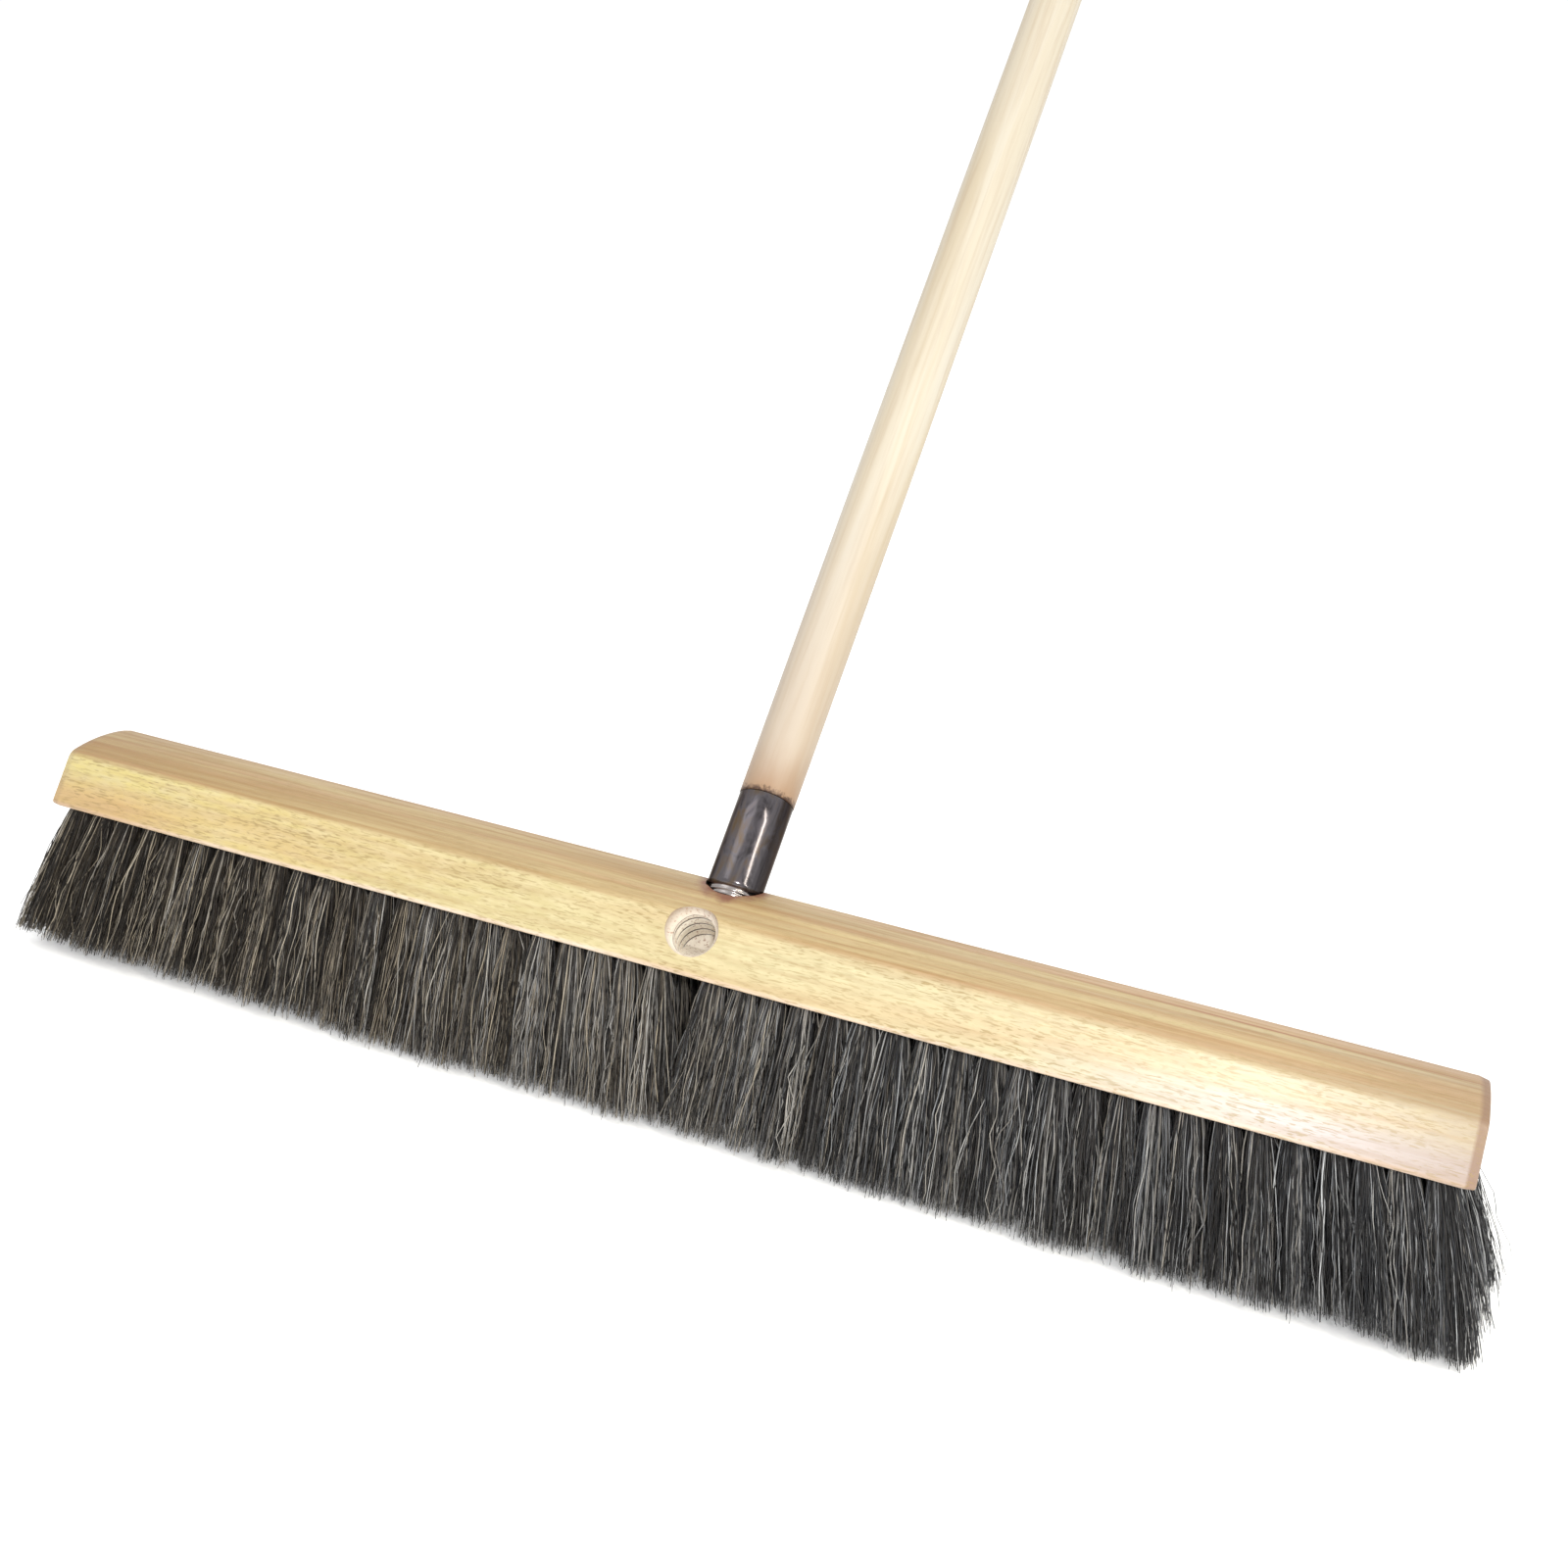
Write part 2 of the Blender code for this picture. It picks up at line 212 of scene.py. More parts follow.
def cut(target, cutter):
    """Subtract the cutter and throw it away."""
    modifier = target.modifiers.new("cut", "BOOLEAN")
    modifier.operation = "DIFFERENCE"
    modifier.solver = "EXACT"
    modifier.object = cutter
    graph = bpy.context.evaluated_depsgraph_get()
    mesh = bpy.data.meshes.new_from_object(target.evaluated_get(graph))
    target.modifiers.clear()
    target.data = mesh
    bpy.data.objects.remove(cutter, do_unlink=True)


def fillet(before, corner, after, radius, segments):
    """Points of an arc that rounds a corner of an outline."""
    corner = Vector(corner)
    to_before = (Vector(before) - corner).normalized()
    to_after = (Vector(after) - corner).normalized()
    half = to_before.angle(to_after) / 2.0
    reach = radius / math.tan(half)
    centre = corner + (to_before + to_after).normalized() * radius / math.sin(half)
    start = corner + to_before * reach - centre
    end = corner + to_after * reach - centre
    span = start.angle(end)
    points = []
    for step in range(segments + 1):
        share = step / segments
        arm = start * math.sin((1.0 - share) * span) + end * math.sin(share * span)
        points.append(centre + arm / math.sin(span))
    return points


def tilted(origin, turn):
    """The frame of a point in millimetres, turned about X."""
    return Matrix.Translation(Vector(origin) * MM) @ Matrix.Rotation(turn, 4, "X")


# ---------------------------------------------------------------- node helpers

# Places of the colour sockets among the mix node's sockets for every data type
MIX_COLOURS = slice(6, 8)
MIX_RESULT = 2


class Nodes:
    """A short way to build a material's node tree."""

    def __init__(self, name):
        self.material = bpy.data.materials.new(name)
        self.material.use_nodes = True
        self.tree = self.material.node_tree
        self.shader = self.tree.nodes["Principled BSDF"]

    def add(self, kind, settings=None):
        node = self.tree.nodes.new(kind)
        for key, value in (settings or {}).items():
            setattr(node, key, value)
        return node

    def feed(self, socket, value):
        if isinstance(value, bpy.types.NodeSocket):
            self.tree.links.new(value, socket)
        else:
            socket.default_value = value

    def set(self, name, value):
        self.feed(self.shader.inputs[name], value)

    def place(self, scale=(1.0, 1.0, 1.0), offset=(0.0, 0.0, 0.0)):
        """Object coordinates in metres, stretched."""
        coords = self.add("ShaderNodeTexCoord")
        mapping = self.add("ShaderNodeMapping")
        self.feed(mapping.inputs["Vector"], coords.outputs["Object"])
        mapping.inputs["Scale"].default_value = scale
        mapping.inputs["Location"].default_value = offset
        return mapping.outputs["Vector"]

    def local(self, origin, turn):
        """Coordinates in the frame of a point in millimetres, turned about X."""
        coords = self.add("ShaderNodeTexCoord")
        mapping = self.add("ShaderNodeMapping", {"vector_type": "TEXTURE"})
        self.feed(mapping.inputs["Vector"], coords.outputs["Object"])
        mapping.inputs["Location"].default_value = Vector(origin) * MM
        mapping.inputs["Rotation"].default_value = (turn, 0.0, 0.0)
        return mapping.outputs["Vector"]

    def around_z(self, vector):
        """Distance from the local Z axis."""
        flat = self.add("ShaderNodeVectorMath", {"operation": "MULTIPLY"})
        self.feed(flat.inputs[0], vector)
        flat.inputs[1].default_value = (1.0, 1.0, 0.0)
        length = self.add("ShaderNodeVectorMath", {"operation": "LENGTH"})
        self.feed(length.inputs[0], flat.outputs["Vector"])
        return length.outputs["Value"]

    def noise(self, vector, scale, detail=2.0, roughness=0.5, distortion=0.0):
        node = self.add("ShaderNodeTexNoise")
        self.feed(node.inputs["Vector"], vector)
        node.inputs["Scale"].default_value = scale
        node.inputs["Detail"].default_value = detail
        node.inputs["Roughness"].default_value = roughness
        node.inputs["Distortion"].default_value = distortion
        return node.outputs["Fac"]

    def ramp(self, factor, stops):
        """A colour ramp; stops are (position, colour)."""
        node = self.add("ShaderNodeValToRGB")
        elements = node.color_ramp.elements
        while len(elements) < len(stops):
            elements.new(0.5)
        for element, (position, colour) in zip(elements, stops):
            element.position = position
            element.color = (*colour, 1.0)
        self.feed(node.inputs["Fac"], factor)
        return node.outputs["Color"]

    def mix(self, factor, a, b):
        """Blend two colours; each is a socket or an (r, g, b) tuple."""
        node = self.add("ShaderNodeMix", {"data_type": "RGBA"})
        self.feed(node.inputs["Factor"], factor)
        for socket, value in zip(node.inputs[MIX_COLOURS], (a, b)):
            self.feed(socket, (*value, 1.0) if isinstance(value, tuple) else value)
        return node.outputs[MIX_RESULT]

    def math(self, operation, a, b=0.0, clamp=False):
        node = self.add("ShaderNodeMath", {"operation": operation, "use_clamp": clamp})
        self.feed(node.inputs[0], a)
        self.feed(node.inputs[1], b)
        return node.outputs[0]

    def span(self, value, low, high, to_low=0.0, to_high=1.0):
        """Map a value from one range to another, clamped."""
        node = self.add("ShaderNodeMapRange", {"clamp": True})
        self.feed(node.inputs["Value"], value)
        node.inputs["From Min"].default_value = low
        node.inputs["From Max"].default_value = high
        node.inputs["To Min"].default_value = to_low
        node.inputs["To Max"].default_value = to_high
        return node.outputs["Result"]

    def axis(self, vector, name):
        node = self.add("ShaderNodeSeparateXYZ")
        self.feed(node.inputs["Vector"], vector)
        return node.outputs[name]

    def bump(self, height, strength, distance, normal=None):
        node = self.add("ShaderNodeBump")
        node.inputs["Strength"].default_value = strength
        node.inputs["Distance"].default_value = distance
        self.feed(node.inputs["Height"], height)
        if normal is not None:
            self.feed(node.inputs["Normal"], normal)
        return node.outputs["Normal"]


# ---------------------------------------------------------------- materials


def block_wood():
    """Clear-lacquered pale hardwood: yellow faces full of short dark pores, a browner crown."""
    n = Nodes("block_wood_lacquered")
    place = n.place()
    normal = n.add("ShaderNodeTexCoord").outputs["Normal"]
    along = n.span(n.axis(place, "X"), -0.3, 0.3)
    bands = n.noise(n.place((3.0, 70.0, 70.0), (2.0, 0.0, 0.0)), 1.0, 3.0, 0.55, 0.8)
    grain = n.noise(n.place((14.0, 420.0, 420.0)), 1.0, 3.0, 0.6, 0.3)
    mottle = n.noise(n.place((90.0, 300.0, 300.0), (1.0, 4.0, 2.0)), 1.0, 2.0, 0.6)
    face = n.mix(along, (0.46, 0.37, 0.125), (0.445, 0.40, 0.29))
    # Painted light: the left end of the face is painted a brighter yellow to offset the weaker light that
    # falls there.
    face = n.mix(n.span(n.axis(place, "X"), -0.3, -0.15, 0.9, 0.0), face, (0.62, 0.53, 0.20))
    face = n.mix(n.span(mottle, 0.35, 0.7, 0.0, 0.6), face, (0.56, 0.49, 0.29))
    low = n.span(n.axis(place, "Z"), (UNDERSIDE + 15.0) * MM, (UNDERSIDE + 7.0) * MM)
    # Painted glare: the lower front face towards the right end is painted a whitish grey where the lamp's
    # glare falls on the lacquer.
    painted_glare = n.math("MULTIPLY", low, n.span(n.axis(place, "X"), 0.13, 0.25))
    face = n.mix(painted_glare, face, (0.48, 0.445, 0.435))
    # Painted highlight: a pale line along the lower front arris, where the edge catches the light.
    arris = n.span(n.axis(place, "Z"), (UNDERSIDE + 1.6) * MM, (UNDERSIDE + 2.6) * MM, 0.85, 0.0)
    face = n.mix(arris, face, (0.62, 0.50, 0.40))
    blush = n.span(n.noise(n.place((5.0, 55.0, 55.0), (9.0, 2.0, 6.0)), 1.0, 2.0), 0.5, 0.72, 0.0, 0.4)
    face = n.mix(blush, face, (0.47, 0.29, 0.14))
    corner = n.math("MULTIPLY", low, n.span(n.axis(place, "X"), -0.27, -0.22, 0.5, 0.0))
    face = n.mix(corner, face, (0.50, 0.28, 0.11))
    crown = n.mix(along, (0.30, 0.17, 0.045), (0.40, 0.33, 0.21))
    crown = n.mix(n.span(bands, 0.38, 0.66), crown, (0.46, 0.36, 0.18))
    rosy = n.noise(n.place((4.0, 120.0, 120.0), (6.0, 1.0, 3.0)), 1.0, 2.0, 0.5, 0.5)
    crown = n.mix(n.span(rosy, 0.5, 0.68, 0.0, 0.5), crown, (0.37, 0.20, 0.10))
    behind = n.span(n.axis(place, "Y"), 0.007, 0.010)
    rear = n.math("MULTIPLY", behind, n.span(n.axis(place, "X"), 0.0, 0.15, 0.25, 0.7))
    crown = n.mix(rear, crown, (0.41, 0.265, 0.17))
    seam = n.math("ADD", n.axis(place, "Y"), n.span(bands, 0.2, 0.8, -0.002, 0.002))
    seam = n.math("ABSOLUTE", n.math("SUBTRACT", seam, 0.008))
    seam = n.math("MULTIPLY", n.span(seam, 0.0003, 0.0016, 0.8, 0.0), n.span(n.axis(place, "X"), 0.10, 0.2))
    crown = n.mix(seam, crown, (0.24, 0.085, 0.035))
    crown = n.mix(n.span(n.axis(place, "Y"), 0.016, 0.0185, 0.0, 0.55), crown, (0.24, 0.13, 0.07))
    upward = n.span(n.axis(normal, "Z"), 0.62, 0.92)
    colour = n.mix(upward, face, crown)
    streaks = n.span(grain, 0.42, 0.75, 0.0, 1.0)
    streaks = n.math("MULTIPLY", streaks, n.span(upward, 0.0, 1.0, 0.4, 0.8))
    colour = n.mix(streaks, colour, (0.28, 0.16, 0.06))
    # End facets darker and pinker: partly the end grain's own tone, partly painted shade, strongest at the
    # right end.
    endward = n.span(n.math("ABSOLUTE", n.axis(normal, "X")), 0.05, 0.18, 0.0, 0.9)
    endward = n.math("MULTIPLY", endward, n.span(n.axis(place, "X"), -0.1, 0.1, 0.4, 1.0))
    colour = n.mix(endward, colour, (0.21, 0.125, 0.08))
    flecks = n.noise(n.place((230.0, 1600.0, 1600.0)), 1.0, 1.0, 0.4, 0.6)
    patches = n.noise(n.place((25.0, 90.0, 90.0), (7.0, 3.0, 1.0)), 1.0, 2.0)
    pores = n.math("MULTIPLY", n.span(flecks, 0.53, 0.66), n.span(patches, 0.3, 0.6, 0.3, 1.0), True)
    pores = n.math("MULTIPLY", pores, n.span(upward, 0.0, 1.0, 0.68, 0.35))
    pores = n.math("MULTIPLY", pores, n.span(n.axis(place, "X"), 0.1, 0.24, 1.0, 0.9))
    colour = n.mix(pores, colour, (0.26, 0.18, 0.06))
    foot = n.around_z(n.local(REAR_HOLE, -HANDLE_TILT))
    blot = n.noise(n.place((130.0, 130.0, 130.0), (2.0, 8.0, 5.0)), 1.0, 3.0, 0.6)
    stain = n.math("ADD", foot, n.span(blot, 0.3, 0.7, -0.0025, 0.0025))
    stain = n.span(stain, 0.0128, 0.0178, 0.85, 0.0)
    colour = n.mix(stain, colour, (0.17, 0.06, 0.04))
    n.set("Base Color", colour)
    n.set("Roughness", n.span(grain, 0.3, 0.8, 0.4, 0.55))
    n.set("Specular IOR Level", 0.35)
    n.set("Coat Weight", n.span(upward, 0.0, 1.0, 0.5, 0.08))
    n.set("Coat Roughness", 0.36)
    rough = n.bump(pores, 0.5, 0.0003)
    n.set("Normal", n.bump(mottle, 0.3, 0.0006, rough))
    return n.material


def cut_wood():
    """Bare wood inside the drilled holes: pinkish and rough, paler as bare wood and painted paler still to
    offset the shade in the holes, with thread grooves painted dark as shade.
    """
    n = Nodes("block_wood_bare")
    fuzz = n.noise(n.place((900.0, 900.0, 900.0)), 1.0, 3.0, 0.6)
    cloud = n.noise(n.place((160.0, 160.0, 160.0)), 1.0, 2.0, 0.5)
    # Pale pinkish bare wood, painted paler than the lacquered outside to offset the shade that falls inside
    # the holes.
    colour = n.ramp(cloud, [(0.3, (0.76, 0.69, 0.58)), (0.7, (0.88, 0.82, 0.72))])
    hole = n.local((FRONT_HOLE[0] + BORE_SHIFT, FRONT_HOLE[1], FRONT_HOLE[2]), HANDLE_TILT)
    radius = n.around_z(hole)
    # Painted shade: the thread grooves in the bore are coloured near-black as if shaded.
    groove = n.span(radius, (BORE_LAND + 0.08) * MM, (BORE_LAND + 0.3) * MM)
    depth = n.axis(hole, "Z")
    colour = n.mix(n.span(depth, -0.007, 0.001), colour, (0.34, 0.265, 0.20))
    colour = n.mix(n.span(fuzz, 0.56, 0.66, 0.0, 0.7), colour, (0.30, 0.15, 0.10))
    groove = n.math("MULTIPLY", groove, n.span(depth, MOUTH_DEPTH * MM, (MOUTH_DEPTH - 0.2) * MM))
    colour = n.mix(n.math("MULTIPLY", groove, 0.95), colour, (0.04, 0.022, 0.014))
    n.set("Base Color", colour)
    n.set("Roughness", n.span(fuzz, 0.3, 0.7, 0.7, 0.95))
    n.set("Specular IOR Level", 0.2)
    n.set("Normal", n.bump(fuzz, 0.4, 0.0002))
    return n.material


def handle_wood():
    """Cream sanded wood with faint grain along the stick, scorched brown above the ferrule."""
    n = Nodes("handle_wood_sanded")
    height = n.axis(n.place(), "Z")
    grain = n.noise(n.place((420.0, 420.0, 12.0)), 1.0, 4.0, 0.6, 0.3)
    bands = n.noise(n.place((110.0, 110.0, 4.0), (3.0, 1.0, 0.0)), 1.0, 2.0, 0.5, 0.5)
    colour = n.ramp(bands, [
        (0.3, (0.46, 0.39, 0.28)), (0.55, (0.51, 0.46, 0.37)), (0.75, (0.52, 0.485, 0.415)),
    ])
    colour = n.mix(n.span(grain, 0.45, 0.8, 0.0, 0.45), colour, (0.34, 0.24, 0.15))
    lower = n.span(height, BARREL_TOP * MM, 0.22, 0.75, 0.0)
    colour = n.mix(lower, colour, (0.37, 0.285, 0.215))
    scorch_edge = n.noise(n.place((60.0, 60.0, 25.0), (0.0, 5.0, 0.0)), 1.0, 3.0)
    above = n.math("SUBTRACT", height, BARREL_TOP * MM)
    ragged = n.math("ADD", above, n.span(scorch_edge, 0.3, 0.7, -0.006, 0.006))
    scorch = n.math("POWER", n.span(ragged, -0.002, 0.03, 1.0, 0.0), 1.4)
    colour = n.mix(n.math("MULTIPLY", scorch, 0.8), colour, (0.25, 0.13, 0.055))
    fine = n.noise(n.place((600.0, 600.0, 500.0)), 1.0, 3.0, 0.65)
    edge = n.math("ADD", above, n.span(fine, 0.3, 0.7, -0.0016, 0.0016))
    ring = n.span(edge, 0.0006, 0.0026, 1.0, 0.0)
    colour = n.mix(n.math("MULTIPLY", ring, 0.92), colour, (0.045, 0.02, 0.012))
    n.set("Base Color", colour)
    n.set("Roughness", n.span(grain, 0.3, 0.8, 0.42, 0.6))
    n.set("Specular IOR Level", 0.4)
    n.set("Normal", n.bump(grain, 0.15, 0.0003))
    return n.material


def ferrule_steel():
    """Dark oiled sheet steel: streaks along the barrel, brown tints, painted shade at the sides, a bright
    neck.
    """
    n = Nodes("ferrule_steel_dark")
    streaks = n.noise(n.place((900.0, 900.0, 25.0)), 1.0, 3.0, 0.6)
    cloud = n.noise(n.place((130.0, 130.0, 70.0), (4.0, 0.0, 2.0)), 1.0, 4.0, 0.6, 0.8)
    colour = n.ramp(cloud, [
        (0.35, (0.045, 0.04, 0.043)), (0.5, (0.11, 0.10, 0.11)), (0.66, (0.12, 0.085, 0.055)),
    ])
    colour = n.mix(n.span(streaks, 0.4, 0.75, 0.0, 0.5), colour, (0.15, 0.14, 0.142))
    place = n.place()
    # Painted shade: dark bands down both sides of the barrel stand in for the dark surroundings the metal
    # would reflect there.
    side = n.math("ADD", n.axis(place, "X"), n.span(cloud, 0.3, 0.7, -0.0015, 0.0015))
    painted_shade_left = n.span(side, -0.0110, -0.0055, 0.85, 0.0)
    painted_shade_right = n.span(side, 0.0085, 0.0105, 0.0, 0.75)
    colour = n.mix(n.math("MAXIMUM", painted_shade_left, painted_shade_right), colour, (0.016, 0.012, 0.011))
    neck = n.span(n.axis(place, "Z"), (BARREL_FOOT + 0.2) * MM, (BARREL_FOOT + 0.9) * MM, 0.9, 0.0)
    colour = n.mix(neck, colour, (0.34, 0.31, 0.30))
    n.set("Base Color", colour)
    n.set("Metallic", 0.95)
    n.set("Specular Tint", (0.5, 0.47, 0.45, 1.0))
    wear = n.span(cloud, 0.35, 0.7, 0.03, 0.10)
    n.set("Roughness", n.math("ADD", n.span(streaks, 0.3, 0.75, 0.1, 0.16), wear))
    n.set("Normal", n.bump(streaks, 0.02, 0.0001))
    return n.material


def nail_steel():
    """Plain scuffed steel."""
    n = Nodes("nail_steel_plain")
    scuffs = n.noise(n.place((800.0, 800.0, 800.0)), 1.0, 3.0, 0.6)
    n.set("Base Color", n.ramp(scuffs, [(0.3, (0.35, 0.34, 0.33)), (0.7, (0.55, 0.54, 0.52))]))
    n.set("Metallic", 1.0)
    n.set("Roughness", n.span(scuffs, 0.3, 0.7, 0.3, 0.5))
    return n.material


def bristle_fibre():
    """Mixed stiff fibre: mostly brown-black, with paler strands, bluer towards the right end, and painted
    shade near the roots.
    """
    n = Nodes("bristle_fibre_mixed")
    strand = n.add("ShaderNodeAttribute", {"attribute_name": "strand"})
    split = n.add("ShaderNodeSeparateColor")
    n.feed(split.inputs["Color"], strand.outputs["Color"])
    shade, along, tint = split.outputs["Red"], split.outputs["Green"], split.outputs["Blue"]
    brown = n.ramp(shade, [
        (0.0, (0.012, 0.009, 0.007)), (0.45, (0.040, 0.030, 0.019)),
        (0.6, (0.16, 0.13, 0.095)), (1.0, (0.42, 0.36, 0.27)),
    ])
    grey = n.ramp(shade, [
        (0.0, (0.012, 0.012, 0.013)), (0.45, (0.040, 0.043, 0.049)),
        (0.6, (0.145, 0.15, 0.16)), (1.0, (0.41, 0.415, 0.42)),
    ])
    across = n.span(n.axis(n.place(), "X"), -0.32, 0.32, -0.6, 0.55)
    cool = n.math("ADD", tint, across, True)
    colour = n.mix(cool, brown, grey)
    speck = n.noise(n.place((350.0, 350.0, 110.0)), 1.0, 2.0)
    colour = n.mix(n.span(speck, 0.42, 0.7, 0.0, 0.6), colour, (0.02, 0.018, 0.016))
    # Painted shade: each fibre is darkened over the first part of its length, under the block.
    colour = n.mix(n.span(along, 0.0, 0.15, 0.5, 0.0), colour, (0.006, 0.005, 0.005))
    n.set("Base Color", colour)
    n.set("Roughness", n.span(speck, 0.3, 0.7, 0.4, 0.6))
    n.set("Specular IOR Level", 0.3)
    return n.material


def floor_paint():
    """Nearly white, with a faint mottle and a little light of its own to thin out the shadow."""
    n = Nodes("floor_pale")
    mottle = n.noise(n.place((3.0, 3.0, 3.0)), 1.0, 2.0)
    n.set("Base Color", n.ramp(mottle, [(0.3, (0.93, 0.93, 0.93)), (0.7, (0.95, 0.95, 0.95))]))
    n.set("Roughness", 0.9)
    n.set("Emission Color", (1.0, 1.0, 1.0, 1.0))
    n.set("Emission Strength", 0.15)
    return n.material


# ---------------------------------------------------------------- block


def block_outline():
    """The block's cross-section as (y, z) points, from the front arris over the crown."""
    foot = (-BLOCK_WIDTH / 2.0 - ARRIS_TRIM, 0.0)
    crest = (-CREST_HALF_WIDTH, CREST_HEIGHT)
    rise = BLOCK_HEIGHT - CREST_HEIGHT
    crown = []
    for share in (0.72, 0.6, 0.48, 0.36, 0.24, 0.12):
        crown.append((-CREST_HALF_WIDTH * share, BLOCK_HEIGHT - rise * share ** 2))
    half = fillet((0.0, 0.0), foot, crest, ARRIS_RADIUS, 5)
    half += fillet(foot, crest, crown[0], CREST_RADIUS, 10)
    half += [Vector(point) for point in crown]
    mirrored = [Vector((-p.x, p.y)) for p in reversed(half)]
    return half + [Vector((0.0, BLOCK_HEIGHT))] + mirrored


def inset(outline, side, top, bottom):
    """The outline drawn in by so much at the sides, the top and the bottom."""
    points = []
    for y, z in outline:
        share = z / BLOCK_HEIGHT
        points.append((
            y * (1.0 - 2.0 * side / BLOCK_WIDTH),
            z + bottom * (1.0 - share) - top * share,
        ))
    return points


def tuft_places(row, side, after=0, last=TUFTS_PER_SIDE):
    """X of the tufts on one side of one row. Staggered rows stand half a pitch in, and start later."""
    staggered = row in STAGGERED_ROWS
    first = max(after + 1, 2) if staggered else after + 1
    return [side * TUFT_PITCH * (i - 0.5 * staggered) for i in range(first, last + 1)]


def make_block(mat, bare):
    """The block with its sanded ends, both handle holes and every drilled tuft socket."""
    outline = block_outline()
    half = BLOCK_LENGTH / 2.0
    ends = [
        (half, inset(outline, 1.8, 1.2, 0.4)),
        (half - 0.35 * END_ROUND, inset(outline, 1.15, 0.8, 0.1)),
        (half - END_ROUND, inset(outline, 0.9, 0.6, 0.0)),
        (half - END_FACET, outline),
    ]
    sections = [(-x, section) for x, section in ends]
    sections += [(x, outline) for x in SECTION_STATIONS]
    sections += list(reversed(ends))
    count = len(outline)
    verts = [(x, y, UNDERSIDE + z) for x, section in sections for y, z in section]
    last = (len(sections) - 1) * count
    faces = [list(range(count)), list(range(last, last + count))]
    for level in range(len(sections) - 1):
        for i in range(count):
            j = (i + 1) % count
            a = level * count
            faces.append([a + i, a + j, a + count + j, a + count + i])
    block = make_object("block_lacquered", verts, faces, mat)
    block.data.materials.append(bare)
    for cutter in (tuft_drill(mat), front_bore(mat), front_countersink(mat), rear_bore(mat)):
        cutter.data.materials.append(bare)
        cutter.data.polygons.foreach_set("material_index", [1] * len(cutter.data.polygons))
        cut(block, cutter)
    smooth(block, 28.0)
    return block


def tuft_drill(mat):
    """One mesh of short round pegs, one for each tuft socket."""
    verts = []
    faces = []
    segments = 14
    for row in ROWS:
        for side in (-1, 1):
            for x in tuft_places(row, side):
                y = (row - MIDDLE_ROW) * ROW_PITCH
                base = len(verts)
                for z in (UNDERSIDE - 1.0, UNDERSIDE + SOCKET_DEPTH):
                    for step in range(segments):
                        angle = 2.0 * math.pi * step / segments
                        verts.append((
                            x + SOCKET_RADIUS * math.cos(angle),
                            y + SOCKET_RADIUS * math.sin(angle),
                            z,
                        ))
                faces.append([base + i for i in range(segments)])
                faces.append([base + segments + i for i in range(segments)])
                for i in range(segments):
                    j = (i + 1) % segments
                    faces.append([base + i, base + j, base + segments + j, base + segments + i])
    return make_object("tuft_drill", verts, faces, mat)


def clip_below(obj, height):
    """Cut away what lies under a height, and close the cut."""
    bm = bmesh.new()
    bm.from_mesh(obj.data)
    bmesh.ops.bisect_plane(
        bm,
        geom=bm.verts[:] + bm.edges[:] + bm.faces[:],
        dist=0.000001,
        plane_co=(0.0, 0.0, height * MM),
        plane_no=(0.0, 0.0, 1.0),
        clear_inner=True,
    )
    bmesh.ops.holes_fill(bm, edges=[e for e in bm.edges if e.is_boundary], sides=0)
    bmesh.ops.recalc_face_normals(bm, faces=bm.faces)
    bm.to_mesh(obj.data)
    bm.free()


def front_bore(mat):
    """The tapped bore: broad flat lands with narrow grooves winding down a right-hand thread."""

    def radius_at(radius, height, turn):
        if radius != BORE_LAND:
            return radius
        phase = (height / THREAD_PITCH - turn) % 1.0
        return radius + GROOVE_DEPTH * max(0.0, 1.0 - (abs(phase - 0.5) / GROOVE_HALF_TURN) ** 2)

    rings = 130
    top = MOUTH_DEPTH - 0.4
    profile = [(0.0, -BORE_DEPTH), (BORE_LAND - 0.6, -BORE_DEPTH)]
    for step in range(rings + 1):
        profile.append((BORE_LAND, -BORE_DEPTH + 0.5 + (BORE_DEPTH - 0.5 + top) * step / rings))
    profile += [(BORE_LAND + 0.5, top + 0.4), (BORE_LAND - 1.0, top + 0.5), (0.0, top + 0.5)]
    bore = revolve("front_bore", profile, mat, 120, radius_at)
    bore.data.transform(tilted(FRONT_HOLE, HANDLE_TILT) @ Matrix.Translation((BORE_SHIFT * MM, 0.0, 0.0)))
    clip_below(bore, UNDERSIDE + HOLE_FLOOR)
    return bore


def front_countersink(mat):
    """The mouth of the empty hole, sunk a little to the left of the thread."""
    deep = MOUTH_DEPTH
    profile = [
        (0.0, deep), (BORE_LAND - 0.2, deep), (BORE_LAND + 0.9, deep + 0.9),
        (MOUTH_RADIUS - 0.45, deep + 2.2), (MOUTH_RADIUS, deep + 3.4), (MOUTH_RADIUS, 12.0), (0.0, 12.0),
    ]
    sink = revolve("front_countersink", profile, mat, 96)
    sink.data.transform(tilted(FRONT_HOLE, HANDLE_TILT))
    return sink


def rear_bore(mat):
    """The hole the ferrule is screwed into, with its wider seat."""
    profile = [
        (0.0, -HOLE_DEPTH), (REAR_BORE_RADIUS, -HOLE_DEPTH), (REAR_BORE_RADIUS, -9.5),
        (REAR_SEAT_RADIUS, -7.5), (REAR_SEAT_RADIUS, BARREL_FOOT - 0.9),
        (REAR_MOUTH_RADIUS, BARREL_FOOT), (REAR_MOUTH_RADIUS, 30.0), (0.0, 30.0),
    ]
    bore = revolve("rear_bore", profile, mat, 96)
    bore.data.transform(tilted(REAR_HOLE, -HANDLE_TILT))
    return bore


# ---------------------------------------------------------------- handle and ferrule


def on_handle(obj):
    """Stand a piece made round Z on the handle's tilted axis."""
    obj.matrix_world = tilted(REAR_HOLE, -HANDLE_TILT)
    return obj


